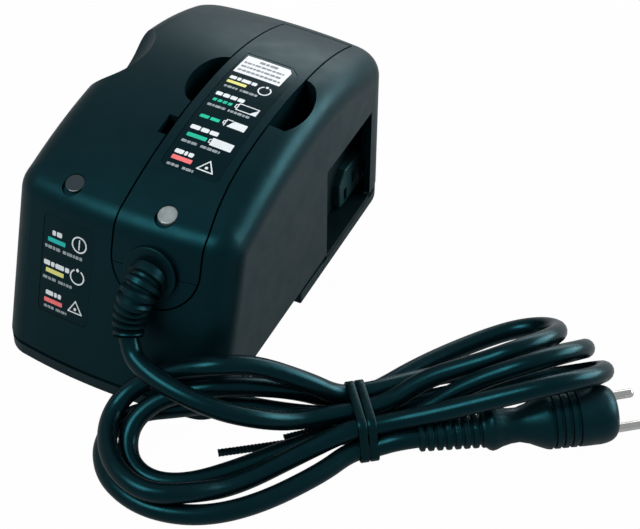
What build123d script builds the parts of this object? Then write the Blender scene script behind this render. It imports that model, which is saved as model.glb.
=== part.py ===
from build123d import *
import math
import os

os.makedirs("parts", exist_ok=True)

# Everything is in millimetres. The origin is the middle of the base on the table,
# the front faces -Y, the outlet side faces +X and +Z is up.

# Housing
length = 153.8
half_width = 43.7
side_taper = 0.02            # half width lost per millimetre towards the rear
top_height = 83.4
peak_y = 12.0                # where the back of the housing is highest
front_arc = 185.0
rear_arc = 130.0
crown_depth = 320.0          # the crown's axis lies this far under the table
front_lean = 17.3            # degrees that the front face leans back
front_bow = 230.0
rear_bow = 260.0
front_corner = 11.0
rear_corner = 15.0
top_edge = 10.4
wall = 2.4
parting = 8.5                # lower edge of the shell
label_depth = 0.7
label_gap = 0.15
lining = 1.8                 # wall of the bay, the wells and the scoop
rear_lining = 3.2

# Bottom tray and its feet
tray_bottom = 1.2
tray_top = 6.6
tray_inset = 0.2
tray_wall = 2.2
tray_edge = 0.8
rim_height = 12.0
rim_wall = 1.6
rim_gap = 0.35
notch_front = -43.0
notch_rear = -4.0
notch_depth = 6.0
foot_radius = 6.5
foot_recess = 0.6
foot_x = 32.0
foot_y = 60.0

# Charger module and the bay that it drops into
bay_floor = 41.8
bay_gap = 0.7
module_rear = 67.6
module_stations = ((25.0, 29.5), (-22.0, 29.5), (-32.0, 29.9), (-42.0, 31.0), (-52.0, 32.8), (-62.0, 33.0))
rear_width = 28.1
front_reach = -95.0
module_wall = 1.8
seam_height = 54.5
seam_gap = 0.3
lip_wall = 0.8
lip_height = 1.6

# Finger wells on both sides of the module, the latch notch and the hand scoop
well_floor = 60.0
left_well = (8.0, 14.5, 11.0)      # reach, half length, middle along the housing
right_well = (9.8, 17.0, 10.5)
right_well_front = -2.0
latch_notch = (4.0, 9.0, 7.0)      # width, length, depth
latch_notch_y = -17.0
scoop_radius = 30.0
scoop_middle = (-58.0, 14.0, 92.0)

# Side recess with the mains outlet
window_front = 18.0
window_rear = 57.9
window_top = 49.7
recess_back = 33.0
recess_front = 17.0
recess_rear = 71.5
recess_top = 50.5
recess_floor = 7.7
recess_wall = 1.6
outlet_width = 24.0
outlet_height = 16.4
outlet_chamfer = 5.0
outlet_y = 56.0
outlet_z = 16.3
outlet_stand = 3.0           # how far the core stands out of the recess wall
outlet_flange = 2.6
outlet_depth = 14.0
slot_size = (2.6, 6.2)
slot_spacing = 14.0
slot_drop = 4.0
slot_depth = 11.0

# Labels
module_label = (22.5, 65.0)
module_label_middle = (14.9, -0.8)
module_label_chamfer = 4.0
front_label = (21.3, 38.4)
front_label_x = -18.4
front_label_z = 43.8

# Indicator lenses
lens_radius = 3.6
lens_bore = 3.65
lens_length = 8.0
lens_flange = 5.0
lens_dip = 1.6               # how far the crescent in front of a lens reaches
sleeve_wall = 1.0
led_gap = 0.3
base_lens_x = -21.0
module_lens_x = 16.2
lens_y = -50.0
led_radius = 2.5

# Mains cord
cord = 7.1
cord_outlet = (15.5, -62.4, 54.5)
boot_end = (14.0, -76.9, 36.5)
boot_root = 10.2             # flange that covers the hole in the module
boot_neck = 7.1
boot_tip = 5.4
boot_ribs = 8
boot_groove = 1.5
lead_points = (
    boot_end,
    (15.5, -80.0, 32.0),
    (19.5, -83.3, 30.2),
    (26.5, -85.5, 29.4),
    (38.0, -86.6, 28.0),
    (52.0, -84.3, 25.0),
    (64.0, -77.5, 20.0),
    (71.0, -69.0, 14.0),
)
end_run = 9.0                # the lead's last run, in line with the tied strands
facet_share = 0.45           # share of a run that each tangent arc may take

# Hank: three turns drawn in at the tie, where each strand has its own place
tie_place = (91.0, -51.0, 0.0)
tie_angle = 38.4             # degrees from +X
strand_pitch = 8.1
low_strand = 4.75
high_strand = 11.25
turns = 3
fold_radius = 21.5
fold_out = (0.7136, 0.7006, 0.0)
fold_side = (0.5870, -0.5980, 0.5450)
fold_tips = ((135.2, 13.4, 19.4), (147.9, 6.4, 19.3), (159.2, -0.1, 18.3))
near_rise = (
    ((109.7, -32.7, 15.0), (123.0, -22.5, 22.0)),
    ((109.8, -42.2, 6.3), (127.9, -31.4, 19.0)),
    ((107.0, -49.5, 14.5), (117.0, -45.5, 18.5), (134.0, -39.5, 24.0)),
)
far_fall = ((99.3, -14.9, 3.8), (107.0, -19.9, 9.8), (113.3, -24.6, 3.7))
near_straight = (6.0, 1.0, 2.0)
left_turns = (
    (
        (65.4, -55.2, 13.5), (49.9, -71.6, 23.3), (36.9, -78.7, 22.1), (26.4, -82.7, 16.6), (20.9, -91.6, 10.5),
        (25.4, -100.4, 5.4), (36.0, -103.5, 3.9), (47.9, -98.4, 3.8), (61.6, -85.7, 4.3), (75.4, -68.8, 3.7),
    ),
    (
        (72.7, -54.9, 20.6), (56.6, -64.4, 30.8), (45.8, -72.5, 34.6), (29.6, -76.8, 27.0), (16.6, -82.8, 17.9),
        (12.2, -92.0, 12.5), (17.1, -103.4, 11.2), (27.1, -110.9, 11.1), (39.9, -113.0, 10.9),
        (52.4, -105.1, 7.1), (64.3, -94.3, 3.9), (79.7, -75.4, 7.6),
    ),
    (
        (69.8, -60.0, 6.3), (50.3, -74.3, 12.5), (36.3, -81.5, 7.5), (22.8, -86.2, 3.9), (14.2, -93.7, 3.7),
        (15.4, -104.0, 3.7), (25.9, -112.6, 3.7), (42.5, -115.8, 3.7), (60.1, -110.7, 3.7),
        (74.5, -98.5, 4.1), (88.5, -77.6, 3.8),
    ),
)
strap_width = 4.6
strap_thick = 0.9
strap_gap = 0.35

# Plug, described by radii at distances from its cord end
plug_start = (113.5, -51.5, 5.3)
plug_end = (170.6, -11.4, 11.2)
plug_ribs = 7
plug_rib_end = 22.0
plug_form = ((25.7, 8.0), (28.0, 7.8), (35.0, 6.2), (41.0, 8.4), (45.0, 9.9))
grip_grooves = 4
grip_start = 46.0
grip_pitch = 2.9
grip_depth = 0.8
head_radius = 10.5
pin_radius = 1.6
pin_spacing = 12.7
pin_length = 8.5
pin_roll = 13.0              # degrees that the pins are turned out of level


# Contacts in the bay, which the module drops onto
contact_block = (22.0, 12.0, 6.0)
contact_place = (14.6, 34.0)
blade_size = (0.8, 6.0)
blade_spacing = 7.0
blade_rise = 7.0
contact_slots = [(contact_place[0] + (n - 1) * blade_spacing, contact_place[1]) for n in range(3)]

# Screws, bosses and boards
screw_radius = 1.5
screw_head = 2.8
boss_radius = 3.2
screw_boss = 4.4
board_height = 9.0
board_thick = 1.6
boss_places = ((-30.0, -48.0), (15.0, -52.0), (-30.0, 44.0), (15.0, 38.0))
screw_places = ((-33.0, -20.0), (33.0, 4.0), (-33.0, 24.0), (-16.0, 63.0))
foot_places = [(x * foot_x, y * foot_y) for x in (-1, 1) for y in (-1, 1)]
board_top = board_height + 0.05 + board_thick
module_board_top = seam_height - 3 + board_thick / 2

# Parts on the base's board, each by its middle
capacitor_place = (-21.0, 34.0)
relay_place = (-2.0, 42.0)
fuse_place = (2.0, -34.0)
transformer_place = (-6.0, -2.0)
module_transformer_place = (14.7, -14.0)

LOW = (Align.CENTER, Align.CENTER, Align.MIN)


def arc_height(y, radius, top):
    return top - radius + math.sqrt(radius ** 2 - (y - peak_y) ** 2)


def half_at(y):
    return half_width - side_taper * y


def front_at(z):
    return -length / 2 + math.tan(math.radians(front_lean)) * (z - parting)


def hull(inset, floor):
    """Outer form of the housing drawn in by an inset all round and cut off at a floor."""
    top = top_height - inset
    reach = length / 2 + 25
    front_radius = front_arc - inset
    rear_radius = rear_arc - inset
    front_mid = (peak_y - reach) / 2
    rear_mid = (peak_y + reach) / 2
    with BuildSketch(Plane.YZ) as profile:
        with BuildLine():
            ThreePointArc(
                (-reach, arc_height(-reach, front_radius, top)),
                (front_mid, arc_height(front_mid, front_radius, top)),
                (peak_y, top),
            )
            ThreePointArc(
                (peak_y, top),
                (rear_mid, arc_height(rear_mid, rear_radius, top)),
                (reach, arc_height(reach, rear_radius, top)),
            )
            Polyline(
                (reach, arc_height(reach, rear_radius, top)),
                (reach, -60),
                (-reach, -60),
                (-reach, arc_height(-reach, front_radius, top)),
            )
        make_face()
    crown_axis = Axis((0, 0, -crown_depth), (0, 1, 0))
    crown = revolve(profile.sketch, crown_axis, 20).rotate(crown_axis, -10)
    lean = math.radians(front_lean)
    outward = Vector(0, -math.cos(lean), math.sin(lean))
    foremost = Vector(0, -length / 2, parting)
    front = Cylinder(front_bow - inset, 400).rotate(Axis.X, -front_lean)
    front = front.moved(Location(foremost - outward * front_bow))
    rear = Cylinder(rear_bow - inset, 400).moved(Location((0, length / 2 - rear_bow, 0)))
    plan = Polygon(
        (-half_at(-reach) + inset, -reach),
        (half_at(-reach) - inset, -reach),
        (half_at(reach) - inset, reach),
        (-half_at(reach) + inset, reach),
        align=None,
    )
    sides = extrude(Plane.XY.offset(-50) * plan, 200)
    solid = crown & front & rear & sides
    for end, radius in ((-1, front_corner), (1, rear_corner)):
        uprights = [
            edge
            for edge in solid.edges()
            if end * edge.center().Y > 40 and abs(edge.center().X) > 38 and abs(edge.tangent_at(0.5).Z) > 0.8
        ]
        solid = fillet(uprights, radius - inset)
    tops = [face for face in solid.faces() if face.normal_at().Z > 0.85]
    counted = [edge for face in tops for edge in face.edges()]
    border = [edge for edge in counted if sum(edge.is_same(other) for other in counted) == 1]
    solid = fillet(border, top_edge - inset)
    return solid.split(Plane.XY.offset(floor), keep=Keep.TOP)


def bay_section(y, width, gap):
    """U-shaped cross-section of the module at one place along the housing."""
    middle = width / 2
    radius = middle + gap
    spring = bay_floor + middle
    roof = top_height + 20
    with BuildSketch(Plane.XZ.offset(-y)) as section:
        with BuildLine():
            Line((middle - radius, roof), (middle - radius, spring))
            ThreePointArc((middle - radius, spring), (middle, spring - radius), (middle + radius, spring))
            Line((middle + radius, spring), (middle + radius, roof))
            Line((middle + radius, roof), (middle - radius, roof))
        make_face()
    return section.sketch.face()


def bay_form(gap, rear):
    """The module's long U-shaped form, grown by a gap and ended at its rear."""
    sections = [bay_section(rear, rear_width, gap)]
    sections += [bay_section(y, width, gap) for y, width in module_stations]
    sections.append(bay_section(front_reach, module_stations[-1][1], gap))
    return loft(sections, ruled=True)


def well_form(grow):
    """Both finger wells as one cutter, grown by the thickness of their lining."""
    reach, half_length, middle = left_well
    floor = well_floor - grow
    left = extrude(Plane.XY.offset(floor) * Pos(0, middle) * Ellipse(reach + grow, half_length + grow), 60)
    reach, half_length, middle = right_well
    outline = Pos(rear_width + 1.4, middle) * Ellipse(reach + grow, half_length + grow)
    kept = Pos(rear_width, right_well_front - grow + 40) * Rectangle(60, 80)
    right = extrude(Plane.XY.offset(floor) * (outline & kept), 60)
    return left + right


def upright(x, y, z, lean, radius, height):
    """A cylinder whose base lies at a point and whose axis leans forward by an angle."""
    tilt = math.radians(lean)
    plane = Plane(origin=(x, y, z), x_dir=(1, 0, 0), z_dir=(0, -math.sin(tilt), math.cos(tilt)))
    return plane * Cylinder(radius, height, align=LOW)


lens_lean = math.degrees(math.asin((peak_y - lens_y) / front_arc))


def lens_point(x, distance):
    """Point on a lens's axis, at a distance outwards from the lens's flush top."""
    tilt = math.radians(lens_lean)
    fall = x ** 2 / (2 * (top_height + crown_depth))
    top = arc_height(lens_y, front_arc, top_height) - fall - 0.3
    return (x, lens_y - distance * math.sin(tilt), top + distance * math.cos(tilt))


def lens_cylinder(x, bottom, top, radius):
    """Cylinder on a lens's axis between two distances from the lens's top."""
    return upright(*lens_point(x, bottom), lens_lean, radius, top - bottom)


def lens_hole(x):
    """Round hole for a light pipe with the crescent that opens in front of it."""
    tilt = math.radians(lens_lean)
    hole = lens_cylinder(x, -14, 12, lens_bore)
    crescent = lens_cylinder(x, -1.2, 12, lens_bore + 0.25)
    return hole + crescent.moved(Location((0, -lens_dip * math.cos(tilt), -lens_dip * math.sin(tilt))))


def module_label_form(grow):
    """Outline of the module's label, clipped at its rear right corner, as an upright block."""
    wide, long = module_label
    x, y = module_label_middle
    left = x - wide / 2 - grow
    right = x + wide / 2 + grow
    front = y - long / 2 - grow
    rear = y + long / 2 + grow
    cut = module_label_chamfer
    outline = Polygon(
        (left, front), (right, front), (right, rear - cut), (right - cut, rear), (left, rear), align=None
    )
    corners = outline.vertices().group_by(Axis.Y)[0]
    return extrude(fillet(corners, 2.0 + grow), 120)


def front_label_form(grow):
    """Outline of the base's label as a block along the front face's normal."""
    wide, high = front_label
    lean = math.radians(front_lean)
    plane = Plane(
        origin=(front_label_x, front_at(front_label_z), front_label_z),
        x_dir=(1, 0, 0),
        z_dir=(0, -math.cos(lean), math.sin(lean)),
    )
    outline = RectangleRounded(wide + 2 * grow, high + 2 * grow, 2.0 + grow)
    return extrude(plane * outline, 8, both=True)


outer = hull(0, parting)
inner = hull(wall, parting - 6)
label_floor = hull(label_depth, parting)
bay_void = bay_form(bay_gap, module_rear + bay_gap)


def outer_shell():
    """Moulded housing: open below, with the module's bay, two wells, a scoop and a side window."""
    cavity = inner - bay_form(bay_gap + lining, module_rear + bay_gap + rear_lining)
    cavity -= well_form(lining + 0.5)
    cavity -= Pos(*scoop_middle) * Sphere(scoop_radius + lining)
    for x, y in screw_places:
        cavity -= Pos(x, y, rim_height + 0.1) * Cylinder(boss_radius, top_height, align=LOW)
    shell = outer - cavity
    for x, y in screw_places:
        shell -= Pos(x, y, rim_height) * Cylinder(screw_radius + 0.05, 32)
    shell -= bay_void
    shell -= well_form(0)
    shell -= Pos(*scoop_middle) * Sphere(scoop_radius)
    wide, long, deep = latch_notch
    notch_top = arc_height(latch_notch_y, front_arc, top_height)
    shell -= Pos(-wide / 2, latch_notch_y, notch_top - deep / 2 + 2) * Box(wide + 0.2, long, deep + 4)
    window_middle = (window_front + window_rear) / 2
    window_span = window_rear - window_front
    shell -= Pos(half_width, window_middle, window_top / 2) * Box(2 * wall + 6, window_span, window_top)
    shell -= lens_hole(base_lens_x)
    shell -= front_label_form(label_gap) - label_floor
    contact_x, contact_y = contact_place
    shell -= Pos(contact_x, contact_y, bay_floor) * Box(contact_block[0] + 0.6, contact_block[1] + 0.6, 20)
    return shell


def footprint(inset, bottom, height):
    """The housing's outline at its lower edge, drawn in by an inset, as a plate."""
    reach = length / 2 + 25
    plan = Polygon(
        (-half_at(-reach) + inset, -reach),
        (half_at(-reach) - inset, -reach),
        (half_at(reach) - inset, reach),
        (-half_at(reach) + inset, reach),
        align=None,
    )
    front = Pos(0, front_bow - length / 2) * Circle(front_bow - inset)
    rear = Pos(0, length / 2 - rear_bow) * Circle(rear_bow - inset)
    outline = plan & front & rear
    corners = outline.vertices().group_by(Axis.Y)
    outline = fillet(corners[0], front_corner - inset)
    outline = fillet([v for v in outline.vertices() if v.Y > 60 and abs(v.X) > 30], rear_corner - inset)
    return extrude(Plane.XY.offset(bottom) * outline, height)


def tray_notch(grow):
    """The long notch in the tray's right edge, rounded at both ends."""
    middle = (notch_front + notch_rear) / 2
    span = notch_rear - notch_front
    block = Pos(half_at(middle) + 4 - notch_depth / 2, middle, 6) * Box(
        notch_depth + 8 + 2 * grow, span + 2 * grow, 30
    )
    uprights = block.edges().filter_by(Axis.Z).group_by(Axis.X)[0]
    return fillet(uprights, 3.0 + grow)


def base_tray():
    """Bottom tray with a rounded lower edge, a locating rim, foot recesses and screw bosses."""
    plate = footprint(tray_inset, tray_bottom, tray_top - tray_bottom)
    plate = fillet(plate.faces().sort_by(Axis.Z)[0].outer_wire().edges(), tray_edge)
    rim_out = wall + rim_gap
    rim = footprint(rim_out, tray_top - 1.5, rim_height - tray_top + 1.5)
    tray = plate + (rim & hull(rim_out, tray_bottom))
    pocket = footprint(rim_out + rim_wall, tray_bottom + tray_wall, 20)
    tray -= pocket
    tray -= tray_notch(0)
    back = tray_notch(tray_wall) & footprint(rim_out, tray_bottom, rim_height - tray_bottom)
    back &= hull(rim_out, tray_bottom)
    tray += back - tray_notch(0)
    for x, y in boss_places:
        tray += Pos(x, y, tray_bottom + 1) * Cylinder(boss_radius, board_height - tray_bottom - 1, align=LOW)
        tray -= Pos(x, y, 0) * Cylinder(screw_radius + 0.05, 40)
    for x, y in screw_places:
        tray += Pos(x, y, tray_bottom + 1) * Cylinder(screw_boss, rim_height - tray_bottom - 1, align=LOW)
        tray -= Pos(x, y, 0) * Cylinder(screw_radius + 0.25, 60)
        tray -= Pos(x, y, tray_bottom) * Cylinder(screw_head + 0.3, 6)
    for x, y in foot_places:
        tray -= Pos(x, y, tray_bottom) * Cylinder(foot_radius + 0.15, 2 * foot_recess)
    recess_clear = Pos(half_width, (recess_front + recess_rear) / 2, rim_height) * Box(
        2 * (half_width - recess_back + recess_wall + 0.4),
        recess_rear - recess_front + 2 * recess_wall + 0.8,
        2 * (rim_height - recess_floor + recess_wall) + 0.6,
    )
    tray -= recess_clear
    return tray


def round_feet():
    """Four rubber feet, each rounded at its lower edge."""
    foot = Cylinder(foot_radius, tray_bottom + foot_recess - 0.05, align=LOW)
    foot = fillet(foot.edges().sort_by(Axis.Z)[0], 0.5)
    return Compound([Pos(x, y, 0) * foot for x, y in foot_places])


def recess_insert():
    """Insert behind the side window that follows the shell's inside and carries the outlet."""
    low = recess_floor - recess_wall
    corner = (Align.MIN, Align.MIN, Align.MIN)
    long = recess_rear - recess_front
    block = Box(40, long + 2 * recess_wall, recess_top + recess_wall - low, align=corner)
    block = block.moved(Location((recess_back - recess_wall, recess_front - recess_wall, low)))
    room = Box(40, long, recess_top - recess_floor, align=corner)
    room = room.moved(Location((recess_back, recess_front, recess_floor)))
    insert = (block & hull(wall + 0.1, low)) - (room & hull(wall + 0.1 + recess_wall, low))
    window_middle = (window_front + window_rear) / 2
    window = Box(60, window_rear - window_front, window_top - recess_floor, align=(Align.MIN, Align.CENTER, Align.MIN))
    insert -= window.moved(Location((recess_back, window_middle, recess_floor)))
    sill = Box(half_width, window_rear - window_front - 0.8, recess_wall, align=(Align.MIN, Align.CENTER, Align.MIN))
    sill = sill.moved(Location((recess_back, window_middle, low)))
    insert += sill & hull(0.3, low)
    insert -= outlet_outline(0.2, recess_back - 10, 30)
    return insert


def outlet_outline(grow, x, thick):
    """The outlet's outline with its two clipped upper corners, as a block along X."""
    half = outlet_width / 2 + grow
    high = outlet_height / 2 + grow
    cut = outlet_chamfer
    plane = Plane(origin=(x, outlet_y, outlet_z), x_dir=(0, 1, 0), z_dir=(1, 0, 0))
    outline = Polygon(
        (-half, -high), (half, -high), (half, high - cut), (half - cut, high), (cut - half, high), (-half, high - cut),
        align=None,
    )
    return extrude(plane * fillet(outline.vertices().group_by(Axis.Y)[0], 1.5), thick)


def outlet_slots(width_gap, x, deep):
    """The three slots of the outlet: earth above, line and neutral below and to the sides."""
    wide, high = slot_size
    centres = ((0, 0.2), (-slot_spacing / 2, -slot_drop), (slot_spacing / 2, -slot_drop))
    blocks = [
        Pos(x - deep / 2, outlet_y + y, outlet_z + z) * Box(deep, wide - 2 * width_gap, high - 2 * width_gap)
        for y, z in centres
    ]
    return blocks


def outlet_socket():
    """Moulded outlet core with a flange behind the recess wall."""
    face = recess_back + outlet_stand
    core = outlet_outline(0, face - outlet_depth, outlet_depth)
    core = fillet(core.faces().sort_by(Axis.X)[-1].outer_wire().edges(), 0.8)
    flange_x = recess_back - recess_wall - outlet_flange - 0.05
    core += outlet_outline(2.4, flange_x, outlet_flange) & (
        Pos(0, 0, recess_floor) * Box(200, 300, 200, align=LOW)
    )
    for slot in outlet_slots(0, face + 0.5, slot_depth + 0.5):
        core -= slot
    return core


def outlet_contacts():
    """Three formed contacts deep in the outlet's slots."""
    face = recess_back + outlet_stand
    return Compound(
        [
            Pos(-slot_depth + 4.0, 0, 0) * block - Pos(-slot_depth + 3.5, 0, 0) * inner_block
            for block, inner_block in zip(outlet_slots(0.15, face, 4.0), outlet_slots(0.7, face + 1, 4.0))
        ]
    )


def light_pipe(x):
    """Stepped round lens that sits in its hole with a flange behind the wall."""
    pin = lens_cylinder(x, -lens_length, 0, lens_radius)
    pin = fillet(pin.edges().sort_by(Axis.Z)[-1], 0.4)
    return pin + lens_cylinder(x, -wall - 2.2, -wall - 0.6, lens_flange)


def indicator_led(x):
    """Domed light source in its sleeve, just behind the lens."""
    base = -lens_length - led_gap - led_radius
    body = lens_cylinder(x, base - 2.4, base, led_radius)
    body += Pos(*lens_point(x, base)) * Sphere(led_radius)
    return body + lens_cylinder(x, base - 2.4, base - 1.4, lens_radius)


def lens_sleeve(x):
    """Short tube that joins a lens to its light source."""
    low = -lens_length - led_gap - led_radius - 2.4
    high = -wall - 2.25
    return lens_cylinder(x, low, high, lens_bore + sleeve_wall) - lens_cylinder(x, low - 1, high + 1, lens_bore)


def front_label_plate():
    """Thin label that lies in the recess on the base's front face."""
    plate = front_label_form(0) & hull(label_gap, parting)
    return plate - hull(label_depth - 0.02, parting)


def module_label_plate():
    """Thin label that follows the module's curved top."""
    plate = module_label_form(0) & hull(label_gap, parting)
    return plate - hull(label_depth - 0.02, parting)


module_outer = bay_form(0, module_rear) & outer
module_inner = bay_form(-module_wall, module_rear - module_wall) & hull(module_wall, parting)


def cord_hole(grow):
    """Bore of the strain relief through the module's front, along its leaning normal."""
    lean = math.radians(front_lean)
    plane = Plane(origin=cord_outlet, x_dir=(1, 0, 0), z_dir=(0, -math.cos(lean), math.sin(lean)))
    return plane * Cylinder(boot_neck + 0.2 + grow, 14)


def module_top_cover():
    """Upper shell of the module: its flush top with the label recess and the lens hole."""
    cover = module_outer - module_inner
    cover = cover.split(Plane.XY.offset(seam_height + seam_gap / 2), keep=Keep.TOP)
    cover -= module_label_form(label_gap) - label_floor
    cover -= lens_hole(module_lens_x)
    cover -= cord_hole(0.2)
    return cover


def module_bottom_tub():
    """Lower shell of the module with a locating lip and slots for the bay's contacts."""
    tub = (module_outer - module_inner).split(Plane.XY.offset(seam_height - seam_gap / 2), keep=Keep.BOTTOM)
    lip_out = bay_form(-module_wall - 0.1, module_rear - module_wall - 0.1) & hull(module_wall + 0.1, parting)
    lip_in = bay_form(-module_wall - lip_wall, module_rear - module_wall - lip_wall)
    lip_in &= hull(module_wall + lip_wall, parting)
    lip = (lip_out - lip_in) & (Pos(0, 0, seam_height) * Box(200, 300, 2 * lip_height))
    root_out = bay_form(0.5 - module_wall, module_rear + 0.5 - module_wall) & hull(module_wall - 0.5, parting)
    root_place = seam_height - (seam_gap + lip_height) / 2 - 0.1
    lip += (root_out - lip_in) & (Pos(0, 0, root_place) * Box(200, 300, lip_height - seam_gap / 2 - 0.2))
    tub += lip
    tub -= cord_hole(0.2)
    for x, y in contact_slots:
        tub -= Pos(x, y, bay_floor) * Box(blade_size[0] + 2.0, blade_size[1] + 1.6, 12)
    return tub


def bay_contact_block():
    """Insulating block in the floor of the bay that holds the contact blades."""
    wide, long, high = contact_block
    x, y = contact_place
    under = bay_floor - bay_gap - lining
    block = Pos(x, y, under - high / 2 + lining) * Box(wide, long, high)
    block += Pos(x, y, under - high + 0.9) * Box(wide + 4, long + 4, 1.8)
    for slot_x, slot_y in contact_slots:
        block -= Pos(slot_x, slot_y, under) * Box(blade_size[0] + 0.1, blade_size[1] + 0.1, 40)
    return block


def bay_contact_blades():
    """Three upright blades that stand out of the block into the module."""
    wide, long = blade_size
    bottom = bay_floor - bay_gap - contact_block[2] - 6
    top = bay_floor + blade_rise
    blade = Box(wide, long, top - bottom, align=(Align.CENTER, Align.CENTER, Align.MIN))
    blade = chamfer(blade.faces().sort_by(Axis.Z)[-1].edges().filter_by(Axis.Y), 0.25)
    return Compound([Pos(x, y, bottom) * blade for x, y in contact_slots])


def base_board():
    """Circuit board of the base on its four bosses, cut back round the recess insert."""
    left = -37.0
    right = recess_back + outlet_stand - outlet_depth - 0.8
    board = Box(right - left, 112, board_thick, align=(Align.MIN, Align.CENTER, Align.MIN))
    board = board.moved(Location((left, -3, board_height + 0.05)))
    board = fillet(board.edges().filter_by(Axis.Z), 3)
    for x, y in boss_places:
        board -= Pos(x, y, board_height) * Cylinder(screw_radius + 0.15, 10)
    for x, y in screw_places:
        board -= Pos(x, y, board_height) * Cylinder(screw_boss + 0.5, 10)
    return board


def base_capacitor():
    """Smoothing capacitor standing on the base's board."""
    can = Cylinder(8, 24, align=LOW)
    can = fillet(can.edges().sort_by(Axis.Z)[-1], 1.2)
    return Pos(*capacitor_place, board_top + 0.05) * can


def base_relay():
    """Relay that switches the outlet."""
    case = Box(16, 20, 16, align=LOW)
    return Pos(*relay_place, board_top + 0.05) * fillet(case.edges().filter_by(Axis.Z), 1)


def base_fuse():
    """Glass fuse in its two clips."""
    tube = Cylinder(2.6, 20).rotate(Axis.Y, 90)
    return Pos(*fuse_place, board_top + 4.2) * tube


def fuse_clips():
    """Two clips that carry the fuse above the board."""
    clip = Pos(0, 0, 0.05) * Box(3.6, 7.2, 6.0, align=LOW)
    clip -= Pos(0, 0, 4.2) * Cylinder(2.65, 10).rotate(Axis.Y, 90)
    clip -= Pos(0, 0, 6.2) * Box(10, 3.4, 4)
    x, y = fuse_place
    return Compound([Pos(x + side * 7.5, y, board_top) * clip for side in (-1, 1)])


def base_transformer_core():
    """Laminated core of the base's small transformer, open for its winding."""
    core = Pos(0, 0, 0.05) * Box(22, 30, 25, align=LOW)
    for side in (-1, 1):
        core -= Pos(0, side * 7.0, 12.5) * Box(40, 5.6, 15)
    return Pos(*transformer_place, board_top) * core


def base_transformer_winding():
    """Winding round the core's middle leg."""
    coil = Pos(0, 0, 5.4) * Box(32, 19.0, 14.4, align=LOW)
    coil = fillet(coil.edges().filter_by(Axis.Z), 3.5)
    return Pos(*transformer_place, board_top) * (coil - Pos(0, 0, 12.5) * Box(22.3, 8.7, 40))


def board_screws():
    """Four screws that hold the base's board on its bosses."""
    screws = []
    for x, y in boss_places:
        head = Pos(x, y, board_top + 0.02) * Cylinder(screw_head, 1.8, align=LOW)
        shank = Pos(x, y, board_height - 5) * Cylinder(screw_radius, board_top - board_height + 5.1, align=LOW)
        recess = Pos(x, y, board_top + 1.8) * Box(0.7, 3.4, 1.4)
        screws.append(head + shank - recess)
    return Compound(screws)


def housing_screws():
    """Four screws from below that join the tray to the shell's bosses."""
    screws = []
    for x, y in screw_places:
        head = Pos(x, y, tray_bottom + 0.6) * Cylinder(screw_head, 2.35, align=LOW)
        shank = Pos(x, y, tray_bottom + 2) * Cylinder(screw_radius, 20, align=LOW)
        recess = Pos(x, y, tray_bottom + 0.6) * Box(0.8, 3.6, 1.6) + Pos(x, y, tray_bottom + 0.6) * Box(3.6, 0.8, 1.6)
        screws.append(head + shank - recess)
    return Compound(screws)


def module_board():
    """Circuit board of the module, wedged between the tub's walls where they draw in."""
    board = bay_form(-module_wall - 0.05, module_rear - module_wall - 0.05)
    board &= hull(module_wall + 0.05, parting)
    return board & (Pos(0, 6, seam_height - 3) * Box(200, 116, board_thick))


def module_transformer_core():
    """Ferrite core of the module's transformer, two E halves round the winding."""
    core = Pos(0, 0, 0.05) * Box(22, 20, 17, align=LOW)
    for side in (-1, 1):
        core -= Pos(side * 5.5, 0, 8.6) * Box(4.4, 30, 11)
    return Pos(*module_transformer_place, module_board_top) * core


def module_transformer_winding():
    """Winding round the core's middle leg."""
    coil = Pos(0, 0, 3.4) * Box(15.0, 27, 10.4, align=LOW)
    coil = fillet(coil.edges().filter_by(Axis.Z), 2.5)
    return Pos(*module_transformer_place, module_board_top) * (coil - Pos(0, 0, 8) * Box(6.9, 20.3, 40))


def module_capacitors():
    """Three capacitors on the module's board."""
    cans = []
    for x, y, radius, high in ((9.0, 16.0, 5.0, 18.0), (20.5, 17.0, 4.0, 16.0), (14.0, 50.0, 6.0, 15.0)):
        can = Cylinder(radius, high, align=LOW)
        can = fillet(can.edges().sort_by(Axis.Z)[-1], 0.8)
        cans.append(Pos(x, y, module_board_top + 0.05) * can)
    return Compound(cans)


def module_heat_sink():
    """Finned plate that cools the switching transistor."""
    sink = Pos(14.7, 30, module_board_top + 0.05) * Box(20, 1.8, 20, align=LOW)
    for n in range(5):
        sink += Pos(6.7 + 4 * n, 32.6, module_board_top + 0.05) * Box(1.0, 4.0, 20, align=LOW)
    return sink


def module_transistor():
    """Flat transistor clamped to the heat sink's face."""
    body = Pos(14.7, 26.8, module_board_top + 5) * Box(10, 4.4, 14, align=LOW)
    for n in range(3):
        body += Pos(14.7 + (n - 1) * 2.54, 26.8, module_board_top + 0.05) * Box(0.8, 0.6, 5.2, align=LOW)
    return body


def module_contact_clips():
    """Three spring clips under the module's board, one round each blade of the bay."""
    clips = []
    wide, long = blade_size
    top = seam_height - 3 - board_thick / 2 - 0.05
    bottom = bay_floor + module_wall + 0.8
    for x, y in contact_slots:
        clip = Pos(x, y, bottom) * Box(wide + 1.6, long + 1.0, top - bottom, align=LOW)
        clip -= Pos(x, y, bottom - 1) * Box(wide + 0.4, long + 2.0, top - bottom - 0.2, align=LOW)
        clips.append(clip)
    return Compound(clips)


def unit(vector):
    return Vector(*vector).normalized()


def biarc(start, start_way, end, end_way):
    """Two tangent arcs from one point and direction to another."""
    span = end - start
    ways = start_way + end_way
    spread = 2 * (1 - start_way.dot(end_way))
    along = span.dot(ways)
    if spread < 1e-9:
        reach = span.dot(span) / (4 * span.dot(end_way))
    else:
        reach = (math.sqrt(along ** 2 + spread * span.dot(span)) - along) / spread
    joint = (start + start_way * reach + end - end_way * reach) * 0.5
    first = arc_or_line(start, start_way, joint)
    second = arc_or_line(joint, first % 1, end)
    return [first, second]


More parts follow.
